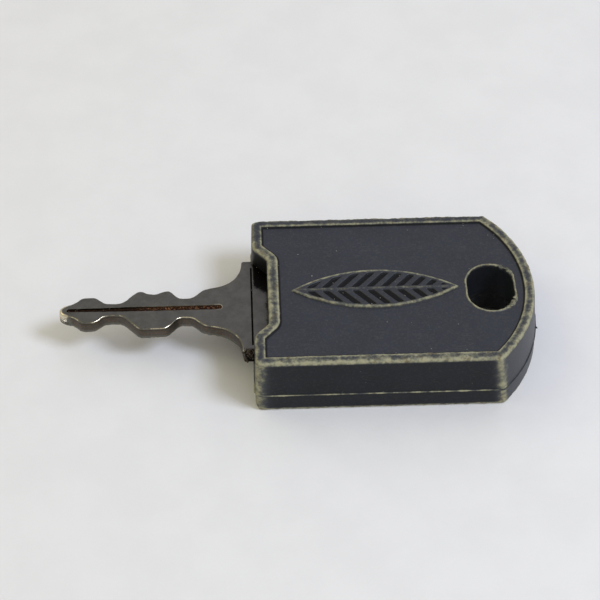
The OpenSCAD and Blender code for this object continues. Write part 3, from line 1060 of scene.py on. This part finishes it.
@dataclass
class SeamFlash:
    """The thin fin that the mould leaves along the parting line, ragged where it broke away."""

    thickness: float = 0.095
    ragged: float = 0.11
    grain: float = 1.3

    def build(self, loop: np.ndarray, shift_x: float, material: bpy.types.Material) -> bpy.types.Object:
        """Sweep the fin along the parting line.

        Args:
            loop: Points of the parting line, in millimetres from the front face.
            shift_x: Where the front face is in the frame, in millimetres.
            material: The finish.

        Returns:
            The fin as one mesh object.
        """
        points = (loop + [shift_x, 0, 0]) * MM
        path = bpy.data.meshes.new("seam_path")
        path.from_pydata(points.tolist(), [(i, (i + 1) % len(points)) for i in range(len(points))], [])
        rubbed = 1 - 0.75 * smooth_step(loop[:, 0], 31.0, 33.5)
        path.attributes.new("rubbed", "FLOAT", "POINT").data.foreach_set("value", rubbed)
        sizes = {"Thickness": self.thickness * MM, "Ragged": self.ragged * MM,
                 "Grain": 1 / (self.grain * MM), "Finish": material}
        return realised("seam_flash", self.node_tree(), sizes, path)

    def node_tree(self) -> bpy.types.NodeTree:
        """Build the tree: the path swept with a round section whose radius wanders."""
        tree, values = new_geometry_tree("seam_flash", {
            "Thickness": "NodeSocketFloat", "Ragged": "NodeSocketFloat", "Grain": "NodeSocketFloat",
            "Finish": "NodeSocketMaterial"})
        curve = add_node(tree, "GeometryNodeMeshToCurve", {0: values["Geometry"]})
        wander = add_node(tree, "ShaderNodeTexNoise", {"Scale": values["Grain"], "Detail": 3.0},
                          noise_dimensions="3D")
        tree.links.new(add_node(tree, "GeometryNodeInputPosition").outputs[0], wander.inputs["Vector"])
        tall = add_node(tree, "ShaderNodeMapRange", {"Value": wander.outputs["Fac"], "From Min": 0.5,
                                                     "From Max": 0.8, "To Max": values["Ragged"]})
        radius = add_node(tree, "ShaderNodeMath", {0: values["Thickness"], 1: tall.outputs[0]},
                          operation="ADD")
        section = add_node(tree, "GeometryNodeCurvePrimitiveCircle", {"Resolution": 6, "Radius": 1.0})
        swept = add_node(tree, "GeometryNodeCurveToMesh",
                         {"Curve": curve.outputs[0], "Profile Curve": section.outputs[0],
                          "Scale": radius.outputs[0]})
        wear = add_node(tree, "ShaderNodeMapRange", {"Value": wander.outputs["Fac"], "From Min": 0.35,
                                                     "From Max": 0.6, "To Min": 0.6, "To Max": 1.15})
        rubbed = add_node(tree, "GeometryNodeInputNamedAttribute", {"Name": "rubbed"},
                          data_type="FLOAT").outputs[0]
        share = add_node(tree, "ShaderNodeMath", {0: wear.outputs[0], 1: rubbed}, operation="MULTIPLY")
        marked = add_node(tree, "GeometryNodeStoreNamedAttribute",
                          {"Geometry": swept.outputs[0], "Name": "wear", "Value": share.outputs[0]},
                          data_type="FLOAT", domain="POINT")
        close_geometry_tree(tree, marked.outputs[0], values["Finish"])
        return tree


@dataclass
class Crumbs:
    """Small torn or caked lumps that still hang where something was rubbed or cut."""

    name: str
    size: float = 0.15
    wear: float = 0.9
    grime_and_shade: float = 0.0
    seed: int = 4

    def build(self, spots: np.ndarray, torn: np.ndarray, shift_x: float,
              material: bpy.types.Material) -> bpy.types.Object:
        """Scatter the crumbs over the spots.

        Args:
            spots: Places that may carry a crumb, one per row, in millimetres from the front face.
            torn: How torn each place is; below 0.35 it carries none.
            shift_x: Where the front face is in the frame, in millimetres.
            material: The finish.

        Returns:
            The crumbs as one mesh object.
        """
        path = bpy.data.meshes.new(self.name + "_path")
        path.from_pydata(((spots + [shift_x, 0, 0]) * MM).tolist(), [], [])
        path.attributes.new("torn", "FLOAT", "POINT").data.foreach_set("value", torn)
        sizes = {"Size": self.size * MM, "Wear": self.wear, "Grime_And_Shade": self.grime_and_shade, "Seed": self.seed,
                 "Finish": material}
        return realised(self.name, self.node_tree(), sizes, path)

    def node_tree(self) -> bpy.types.NodeTree:
        """Build the tree: flattened lumps on the points, larger where they are more torn."""
        tree, values = new_geometry_tree("crumbs", {
            "Size": "NodeSocketFloat", "Wear": "NodeSocketFloat", "Grime_And_Shade": "NodeSocketFloat",
            "Seed": "NodeSocketInt", "Finish": "NodeSocketMaterial"})
        torn = add_node(tree, "GeometryNodeInputNamedAttribute", {"Name": "torn"},
                        data_type="FLOAT").outputs[0]
        chance = add_node(tree, "FunctionNodeRandomValue", {"Seed": values["Seed"]}, data_type="FLOAT")
        chosen = add_node(tree, "FunctionNodeCompare", {0: torn, 1: 0.35}, data_type="FLOAT",
                          operation="GREATER_THAN").outputs[0]
        spots = add_node(tree, "GeometryNodeMeshToPoints", {"Mesh": values["Geometry"], "Selection": chosen})
        jitter = add_node(tree, "FunctionNodeRandomValue", {"Seed": values["Seed"]}, data_type="FLOAT_VECTOR")
        jitter.inputs[0].default_value = (-0.00017, -0.00017, -0.00004)
        jitter.inputs[1].default_value = (0.00017, 0.00017, 0.00004)
        moved = add_node(tree, "GeometryNodeSetPosition", {"Geometry": spots.outputs[0],
                                                           "Offset": jitter.outputs[0]})
        lump = add_node(tree, "GeometryNodeMeshIcoSphere", {"Radius": 1.0, "Subdivisions": 3})
        turn = add_node(tree, "FunctionNodeRandomValue", {"Seed": values["Seed"]}, data_type="FLOAT_VECTOR")
        turn.inputs[1].default_value = (6.28, 6.28, 6.28)
        large = add_node(tree, "ShaderNodeMath", {0: values["Size"], 1: torn}, operation="MULTIPLY")
        grown = add_node(tree, "ShaderNodeMath", {0: large.outputs[0], 1: chance.outputs[1]},
                         operation="MULTIPLY")
        shape = add_node(tree, "ShaderNodeVectorMath", {0: (1.0, 0.6, 0.45), "Scale": grown.outputs[0]},
                         operation="SCALE")
        placed = add_node(tree, "GeometryNodeInstanceOnPoints",
                          {"Points": moved.outputs[0], "Instance": lump.outputs[0],
                           "Rotation": turn.outputs[0], "Scale": shape.outputs[0]})
        lumps = add_node(tree, "GeometryNodeRealizeInstances", {0: placed.outputs[0]}).outputs[0]
        for mark in ("Wear", "Grime_And_Shade"):
            lumps = add_node(tree, "GeometryNodeStoreNamedAttribute",
                             {"Geometry": lumps, "Name": mark.lower(), "Value": values[mark]},
                             data_type="FLOAT", domain="POINT").outputs[0]
        close_geometry_tree(tree, lumps, values["Finish"])
        return tree


# --------------------------------------------------------------------------- geometry node helpers


def new_geometry_tree(name: str, sockets: dict[str, str]) -> tuple[bpy.types.NodeTree, dict]:
    """Make an empty geometry tree with named inputs.

    Args:
        name: The tree's name.
        sockets: Input name to socket type.

    Returns:
        The tree, and input name to the socket that gives its value inside the tree.
    """
    tree = bpy.data.node_groups.new(name, "GeometryNodeTree")
    tree.interface.new_socket("Geometry", in_out="INPUT", socket_type="NodeSocketGeometry")
    for label, kind in sockets.items():
        tree.interface.new_socket(label, in_out="INPUT", socket_type=kind)
    tree.interface.new_socket("Geometry", in_out="OUTPUT", socket_type="NodeSocketGeometry")
    entry = tree.nodes.new("NodeGroupInput")
    values = {label: entry.outputs[label] for label in sockets}
    values["Geometry"] = entry.outputs["Geometry"]
    return tree, values


def close_geometry_tree(tree: bpy.types.NodeTree, last: bpy.types.NodeSocket,
                        finish: bpy.types.NodeSocket) -> None:
    """End a tree with smooth shading, Realize Instances and Set Material."""
    smooth = add_node(tree, "GeometryNodeSetShadeSmooth", {0: last})
    real = add_node(tree, "GeometryNodeRealizeInstances", {0: smooth.outputs[0]})
    dressed = add_node(tree, "GeometryNodeSetMaterial", {"Geometry": real.outputs[0], "Material": finish})
    add_node(tree, "NodeGroupOutput", {0: dressed.outputs[0]})


def realised(name: str, tree: bpy.types.NodeTree, sizes: dict,
             base: bpy.types.Mesh | None = None) -> bpy.types.Object:
    """Run a geometry tree on a host and return the result as a plain mesh object.

    Args:
        name: The new object's name.
        tree: The geometry tree.
        sizes: Input name to value.
        base: The mesh that the tree starts from, if it needs one.

    Returns:
        The new object, with its boundary closed and its faces pointing out.
    """
    host = bpy.data.objects.new(name + "_host", base or bpy.data.meshes.new(name + "_host"))
    bpy.context.scene.collection.objects.link(host)
    modifier = host.modifiers.new("rule", "NODES")
    modifier.node_group = tree
    for item in tree.interface.items_tree:
        if item.in_out == "INPUT" and item.name in sizes:
            modifier[item.identifier] = sizes[item.name]
    graph = bpy.context.evaluated_depsgraph_get()
    graph.update()
    mesh = bpy.data.meshes.new_from_object(host.evaluated_get(graph), depsgraph=graph)
    bpy.data.objects.remove(host)
    draft = bmesh.new()
    draft.from_mesh(mesh)
    bmesh.ops.holes_fill(draft, edges=[e for e in draft.edges if e.is_boundary], sides=0)
    bmesh.ops.recalc_face_normals(draft, faces=draft.faces)
    draft.to_mesh(mesh)
    draft.free()
    piece = bpy.data.objects.new(name, mesh)
    bpy.context.scene.collection.objects.link(piece)
    return piece


# --------------------------------------------------------------------------- the blade


@dataclass
class Blade:
    """The cut blank: bits, flared shoulder, tang, grooves and the scored stop line."""

    tang_x: float
    top: float
    bottom: float
    shoulder_half: float
    tip_cuts: tuple = ((26.85, 0.42), (26.35, 0.92), (25.6, 1.12), (25.1, 1.2), (24.5, 1.6), (23.9, 2.2),
                       (23.4, 2.38), (22.0, 2.36), (21.4, 1.95), (20.7, 1.25), (19.8, 1.1), (18.4, 1.15),
                       (17.7, 1.6))
    near_cuts: tuple = ((16.0, 3.55), (15.5, 3.78), (12.3, 3.78), (11.6, 3.35))
    far_cuts: tuple = ((16.6, 2.85), (16.0, 3.28), (15.4, 3.3), (14.5, 2.78), (13.6, 2.68), (12.5, 3.2),
                       (11.8, 3.3), (11.3, 2.95))
    head_cuts: tuple = ((10.5, 2.0), (9.9, 1.78), (8.5, 1.85), (7.8, 2.5), (6.9, 3.35), (5.9, 3.62))
    flare_radius: float = 4.3
    shoulder_x: float = -1.6
    neck_x: float = 5.5
    neck_half: float = 6.4
    post_places: tuple = (9.5, 20.0)
    post_rims: list = field(default_factory=list, init=False)
    post_hole: float = 1.7
    groove_from: float = -25.85
    groove_to: float = -4.35
    score_x: float = -0.22
    score_half: float = 7.3
    spacing: float = 0.13

    def edge(self, cuts: tuple, side: int) -> list[tuple[float, float]]:
        """Corners of one edge from the tip to the neck; side is 1 for the far edge, -1 for the near."""
        bits = [(-out, side * half) for out, half in self.tip_cuts + cuts + self.head_cuts]
        flare = []
        centre_y = self.shoulder_half - 0.6
        for angle in np.radians([82, 66, 50, 34, 18, 4]):
            flare.append((self.shoulder_x - self.flare_radius + self.flare_radius * math.cos(angle),
                          side * (centre_y - self.flare_radius * math.sin(angle))))
        shoulder = [(self.shoulder_x + 0.05, side * self.shoulder_half),
                    (self.neck_x, side * self.shoulder_half),
                    (self.neck_x + 1.5, side * self.neck_half), (self.tang_x, side * self.neck_half)]
        return bits + flare + shoulder

    def outline(self) -> np.ndarray:
        """The blank's outline, counter-clockwise, with its corners rounded as a cutter leaves them."""
        corners = self.edge(self.near_cuts, -1) + self.edge(self.far_cuts, 1)[::-1]
        return rounded_outline(corners, 0.55, self.spacing)

    def groove_loop(self, half: float, shorten: float) -> np.ndarray:
        """A loop of the long groove, which narrows a little towards the tip.

        Args:
            half: Half the groove's width at its head end.
            shorten: How much shorter the loop is at each end.

        Returns:
            The loop, counter-clockwise.
        """
        start, end = self.groove_from + shorten, self.groove_to - shorten
        count = int((end - start) / 0.2)
        xs = np.linspace(start + half * 0.6, end - half, count)
        slim = 0.68 + 0.32 * smooth_step(xs, start, start + 12)
        near = np.column_stack([xs, -half * slim])
        cap = np.radians(np.linspace(-75, 75, 9))
        right = np.column_stack([end - half + half * np.cos(cap), half * np.sin(cap)])
        left = np.column_stack([start + half * 0.6 - half * 0.6 * np.cos(cap), -half * 0.68 * np.sin(cap)])
        return np.vstack([near, right, near[::-1] * [1, -1], left])

    def score_loop(self, half: float) -> np.ndarray:
        """A loop of the line scored across the shoulder."""
        corners = [(self.score_x - half, -self.score_half), (self.score_x + half, -self.score_half),
                   (self.score_x + half, self.score_half), (self.score_x - half, self.score_half)]
        return spread_evenly(np.array(corners), 0.2)

    def build(self, shift_x: float, material: bpy.types.Material) -> bpy.types.Object:
        """Build the blade as one closed mesh object."""
        draft = MeshDraft()
        path = self.outline()
        normal = outward(path)
        at_tip = smooth_step(-path[:, 0], 24.9, 26.5)
        blackened = smooth_step(-path[:, 1], 7.9, 8.3) * smooth_step(path[:, 0], -1.7, -1.2)
        half = (self.top - self.bottom) / 2
        middle = (self.top + self.bottom) / 2
        # Each row: distance in from the edge, drop below the face, wear, dirt.
        upper = [(0.26, 0.0, 0.0, 0.0), (0.17, 0.0, 0.1, 0.0), (0.10, 0.012, 0.45, 0.0),
                 (0.05, 0.04, 0.85, 0.0), (0.012, 0.09, 0.7, 0.0), (0.0, 0.16, 0.0, 0.35),
                 (0.0, 0.26, -0.32, 0.5), (0.0, 0.6, -0.3, 0.34)]
        lower = [(0.0, 0.6, -0.28, 0.3), (0.0, 0.32, 0.0, 0.1), (0.0, 0.18, 0.5, 0.0),
                 (0.012, 0.09, 0.85, 0.0), (0.05, 0.04, 0.85, 0.0), (0.10, 0.012, 0.45, 0.0),
                 (0.17, 0.0, 0.1, 0.0), (0.26, 0.0, 0.0, 0.0)]
        profile = [(inset, half - drop, worn, dirt) for inset, drop, worn, dirt in upper]
        profile += [(inset, drop - half, worn, dirt) for inset, drop, worn, dirt in lower]
        rings, wear, grime_and_shade = [], [], []
        near = smooth_step(-path[:, 1], -0.5, 1.0)
        spots = np.column_stack([path, np.full(len(path), self.top)])
        patchy = 0.25 + 0.75 * smooth_step(fractal(spots, 1.7, 6), -0.35, 0.25)
        for inset, height, worn, dirt in profile:
            flat = path - normal * (inset * (1 + 0.9 * at_tip))[:, None]
            drop = (half - abs(height)) * (1 + 2.2 * at_tip * (abs(height) > half * 0.5))
            rings.append(np.column_stack([flat, middle + math.copysign(1, height) * (half - drop)]))
            rubbed = (0.45 + 0.55 * near) * patchy if worn > 0 else 1.0
            polish = at_tip * (inset < 0.2) * (height > -half * 0.6)
            edge_wear = worn * rubbed * (1 - polish) + 0.95 * polish
            wear.append(edge_wear * (1 - blackened))
            grime_and_shade.append(np.maximum(0.95 * blackened, dirt * (1 - polish)))
        rough = np.array([0.03 if worn > 0.4 else 0.008 for _, _, worn, _ in profile])
        stack = roughen(np.array(rings), rough, 5, 0.7)
        index = draft.add_rings(stack, np.array(wear), np.array(grime_and_shade))
        for up in (True, False):
            level = self.top if up else self.bottom
            side = 1 if up else -1
            holes = [self.sink_groove(draft, level, side)]
            if up:
                holes.append(self.sink_score(draft, level))
            holes += self.post_loops(draft, level)
            rim = index[0] if up else index[-1]
            draft.fill(rim, holes, upward=up, inner=self.painted_points(draft, level, path) if up else None)
        self.line_post_holes(draft)
        return draft.to_object("cut_blade", shift_x, material)

    def caked_spots(self) -> np.ndarray:
        """Places on the near end of the shoulder that carry caked dirt."""
        xs, heights = np.meshgrid(np.arange(-1.45, -0.1, 0.16), np.arange(self.bottom + 0.2, self.top, 0.22))
        end = np.column_stack([xs.ravel(), np.full(xs.size, -self.shoulder_half + 0.14), heights.ravel()])
        xs, ys = np.meshgrid(np.arange(-1.4, -0.1, 0.2), np.arange(-self.shoulder_half + 0.15, -7.9, 0.2))
        over = np.column_stack([xs.ravel(), ys.ravel(), np.full(xs.size, self.top - 0.1)])
        return np.vstack([end, over])

    def painted_points(self, draft: MeshDraft, level: float, path: np.ndarray) -> np.ndarray:
        """Add points on the shoulder that carry the dark beside the head, a painted shadow of the notch walls
        with dirt on it, and return their indices.
        """
        xs, ys = np.meshgrid(np.arange(-2.6, 2.6, 0.23), np.arange(-8.3, 8.31, 0.27))
        spots = np.column_stack([xs.ravel(), ys.ravel()])
        clear = np.array([np.linalg.norm(path - spot, axis=1).min() > 0.5 for spot in spots])
        beside_score = np.abs(spots[:, 0] - self.score_x) > 0.3
        spots = spots[clear & beside_score & inside_any(spots, path)]
        level_spots = np.column_stack([spots, np.full(len(spots), level)])
        patchy = 0.9 * fractal(level_spots, 1.6, 31)
        behind_score = smooth_step(spots[:, 0], self.score_x - 0.1, self.score_x + 0.5)
        far_corner = smooth_step(spots[:, 1] + 1.6 * patchy + 0.8 * spots[:, 0], 2.2, 5.5)
        at_wall = smooth_step(spots[:, 0] + 0.4 * patchy, 1.2, 2.1)
        nub = smooth_step(-spots[:, 1], 7.6, 8.2)
        # Behind the score line the shoulder darkens towards the far corner and the notch's back wall: painted
        # shadow of the notch walls, with some dirt. The nub at the near end is caked dirt.
        grime_and_shade = np.maximum(behind_score * np.maximum(far_corner, 0.75 * at_wall), nub)
        return draft.add_points(level_spots, 0.0, np.clip(grime_and_shade, 0, 1))

    def sink_groove(self, draft: MeshDraft, level: float, side: int) -> np.ndarray:
        """Add the groove in one face and return its outer loop."""
        # The groove's walls are darkened, partly as painted shade in the groove and partly as dirt. The walls
        # also darken towards the tip.
        rows = [(0.60, 0.0, -0.15, 0.0, 0.0), (0.54, 0.0, -0.09, 0.0, 0.1), (0.47, -0.01, -0.03, 0.35, 0.1),
                (0.42, 0.02, 0.02, 0.2, 0.4), (0.36, 0.16, 0.08, -0.8, 0.5), (0.24, 0.28, 0.2, -0.8, 0.25),
                (0.10, 0.33, 0.3, -0.8, 0.35)]
        loops, wear, grime_and_shade = [], [], []
        for half, drop, shorten, worn, dirt_and_shade in rows:
            loop = self.groove_loop(half, shorten)
            spots = np.column_stack([loop, np.full(len(loop), level)])
            loop = loop + outward(loop) * (0.045 * fractal(spots, 0.8, 14) * (0.2 < half < 0.5))[:, None]
            loops.append(np.column_stack([loop, np.full(len(loop), level - side * drop)]))
            at_head = smooth_step(loop[:, 0], self.groove_to - 0.9, self.groove_to - 0.3)
            wear.append(worn + 0.6 * at_head * (0.42 < half < 0.5))
            grime_and_shade.append(dirt_and_shade + 0.3 * smooth_step(-loop[:, 0], 13.0, 18.0) * (half < 0.45))
        shared = min(len(loop) for loop in loops)
        loops = [np.column_stack([resample(loop[:, :2], shared), np.full(shared, loop[0, 2])])
                 for loop in loops]
        wear = np.array([w[:shared] for w in wear])
        grime_and_shade = np.array([g[:shared] for g in grime_and_shade])
        index = draft.add_rings(np.array(loops), wear, grime_and_shade, outside=side < 0)
        draft.fill(index[-1], upward=side > 0)
        return index[0]

    def sink_score(self, draft: MeshDraft, level: float) -> np.ndarray:
        """Add the scored line and return its outer loop."""
        rows = [(0.16, 0.0, 0.2), (0.11, 0.0, 0.7), (0.08, 0.08, 1.0), (0.05, 0.14, 1.0)]
        loops = [self.score_loop(half) for half, _, _ in rows]
        shared = min(len(loop) for loop in loops)
        rings = [np.column_stack([resample(loop, shared), np.full(shared, level - drop)])
                 for loop, (_, drop, _) in zip(loops, rows, strict=True)]
        dirt = np.array([np.full(shared, dirt_and_shade) for _, _, dirt_and_shade in rows])
        index = draft.add_rings(np.array(rings), -0.2 * dirt, dirt, outside=False)
        draft.fill(index[-1])
        return index[0]

    def post_loops(self, draft: MeshDraft, level: float) -> list[np.ndarray]:
        """Add the rims of the tang's two holes at a level and return their loops."""
        loops = []
        for place in self.post_places:
            circle = oval(place, self.post_hole, self.post_hole, 48)
            ring = np.column_stack([circle, np.full(len(circle), level)])
            loops.append(draft.add_points(ring, 0.0, 0.0))
        self.post_rims.append(loops)
        return loops

    def line_post_holes(self, draft: MeshDraft) -> None:
        """Join the rims of each hole in the tang with its wall."""
        for upper, lower in zip(*self.post_rims, strict=True):
            upper_next, lower_next = np.roll(upper, -1), np.roll(lower, -1)
            wall = np.stack((upper, upper_next, lower_next, lower), axis=-1)
            draft.faces += [tuple(int(i) for i in face) for face in wall]


# --------------------------------------------------------------------------- the stage


@dataclass
class Studio:
    """Floor, soft lights and the camera."""

    elevation: float = 47.0
    azimuth: float = -2.09
    distance: float = 303.88
    target: tuple[float, float, float] = (0.687, 6.822, 0.0)
    lens: float = 127.63
    floor_size: float = 3.0

    def build(self) -> None:
        """Set the floor, the lights and the camera."""
        self.lay_floor()
        self.hang_lights()
        self.set_camera()
        bpy.context.scene.view_settings.view_transform = "Standard"

    def lay_floor(self) -> None:
        """Lay a wide sheet of board under the key."""
        half = self.floor_size / 2
        mesh = bpy.data.meshes.new("floor")
        corners = [(-half, -half, 0), (half, -half, 0), (half, half, 0), (-half, half, 0)]
        mesh.from_pydata(corners, [], [(0, 1, 2, 3)])
        mesh.materials.append(MattPaper().build())
        floor = bpy.data.objects.new("floor", mesh)
        bpy.context.scene.collection.objects.link(floor)

    def hang_lights(self) -> None:
        """Hang a cool window light at the right, a warm lamp at the left and a soft top light."""
        self.area_light("window", (0.34, -0.17, 0.49), 0.20, 2.08, "#dfe8ff")
        self.area_light("lamp", (-0.40, 0.14, 0.44), 0.40, 0.38, "#fff8b4")
        self.area_light("sky", (0.06, 0.40, 0.60), 0.50, 0.26, "#5a6cff")
        world = bpy.data.worlds.new("room")
        world.use_nodes = True
        background = world.node_tree.nodes["Background"]
        background.inputs["Color"].default_value = linear("#fffae9")
        background.inputs["Strength"].default_value = 0.58
        bpy.context.scene.world = world

    def area_light(self, name: str, place: tuple[float, float, float], size: float, power: float,
                   colour: str) -> None:
        """Add one square soft light that faces the key."""
        data = bpy.data.lights.new(name, "AREA")
        data.shape, data.size, data.energy = "SQUARE", size, power
        data.color = linear(colour)[:3]
        light = bpy.data.objects.new(name, data)
        light.location = place
        light.rotation_euler = (-Vector(place)).to_track_quat("-Z", "Y").to_euler()
        bpy.context.scene.collection.objects.link(light)

    def set_camera(self) -> None:
        """Stand the camera in front of the key, looking down at it."""
        rise, turn = math.radians(self.elevation), math.radians(self.azimuth)
        back = Vector((math.sin(turn) * math.cos(rise), -math.cos(turn) * math.cos(rise), math.sin(rise)))
        data = bpy.data.cameras.new("camera")
        data.lens, data.sensor_width = self.lens, 36.0
        data.clip_start, data.clip_end = 0.01, 20.0
        camera = bpy.data.objects.new("camera", data)
        camera.location = (Vector(self.target) + back * self.distance) * MM
        camera.rotation_euler = (-back).to_track_quat("-Z", "Y").to_euler()
        bpy.context.scene.collection.objects.link(camera)
        bpy.context.scene.camera = camera


# --------------------------------------------------------------------------- the key


@dataclass
class Key:
    """The whole key, its pieces placed by the CAD nodes that they stand for."""

    pieces: list[bpy.types.Object] = field(default_factory=list)

    def __post_init__(self) -> None:
        """Read the places of the CAD nodes, in millimetres."""
        self.shell_low, self.shell_high = (np.array(c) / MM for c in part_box("upper_shell"))
        self.blade_low, self.blade_high = (np.array(c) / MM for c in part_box("key_blade"))
        self.front = float(self.shell_low[0])

    def keep(self, piece: bpy.types.Object, node: str | None, slot: str) -> None:
        """Let a piece ride with the key and hide the CAD node that it stands for, if it has one."""
        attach(piece, "root")
        if node:
            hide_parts(node)
        self.pieces.append(piece)
        LOG.info("%s: %d faces", piece.name, len(piece.data.polygons))

    def build(self) -> None:
        """Build and dress every piece."""
        nylon, nickel = WornNylon().build(), DulledNickel().build()
        plan = HeadPlan(float(self.shell_high[0] - self.shell_low[0]),
                        float(self.shell_high[1] - self.shell_low[1]))
        hole = RingHole()
        sizes = {"top": float(self.shell_high[2]), "seam": float(self.shell_low[2]),
                 "blade_top": float(self.blade_high[2])}
        upper = HeadShell(Face.LEAF_SIDE, plan, hole, **sizes).skin()
        self.keep(upper.to_object("head_upper_shell", self.front, nylon), "upper_shell", "head_plastic")
        lower = HeadShell(Face.PLAIN_SIDE, plan, hole, **sizes).skin()
        self.keep(lower.to_object("head_lower_cover", self.front, nylon), "lower_cover", "head_plastic")
        leaf = LeafRelief(panel_z=sizes["top"] - 0.4).build(self.front, nylon)
        self.keep(leaf, None, "head_plastic")
        shell = HeadShell(Face.PLAIN_SIDE, plan, hole, **sizes)
        lean = shell.nose_lean * (1 - shell.seam / shell.top)
        seam = plan.ring(shell.wall_inset(shell.seam) - 0.02, False, lean)
        seam_loop = np.column_stack([seam, np.full(len(seam), shell.seam)])
        self.keep(SeamFlash().build(seam_loop, self.front, nylon), None, "head_plastic")
        lip = hole.loop(0.14, sizes["top"] - 0.4 + 0.08)
        crumbs = Crumbs("lip_crumbs", size=0.42)
        self.keep(crumbs.build(lip, hole.torn(lip[:, :2]), self.front, nylon), None, "head_plastic")
        blade = Blade(float(self.blade_high[0] - self.front), float(self.blade_high[2]),
                      float(self.blade_low[2]), float(self.blade_high[1]))
        self.keep(blade.build(self.front, nickel), "key_blade", "plated_brass")
        caked = blade.caked_spots()
        nibs = sum(np.exp(-((seam[:, 1] - place) / 0.16) ** 2) for place in (-10.2, -7.4, -2.6))
        nibs = nibs * (seam[:, 0] > 30)
        snags = Crumbs("seam_nibs", size=0.3, wear=0.5, seed=2).build(seam_loop, nibs, self.front, nylon)
        self.keep(snags, None, "head_plastic")
        crust = Crumbs("shoulder_crust", size=0.34, wear=-0.3, grime_and_shade=0.4, seed=9)
        self.keep(crust.build(caked, np.full(len(caked), 1.0), self.front, nickel), None, "plated_brass")
        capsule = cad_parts["transponder"]
        capsule.data.materials.clear()
        capsule.data.materials.append(CapsuleGlass().build())


def main() -> None:
    """Build the key and its stage, and note how large the result is."""
    logging.basicConfig(level=logging.INFO, format="%(name)s %(message)s")
    Key().build()
    Studio().build()


if __name__ == "__main__":
    main()
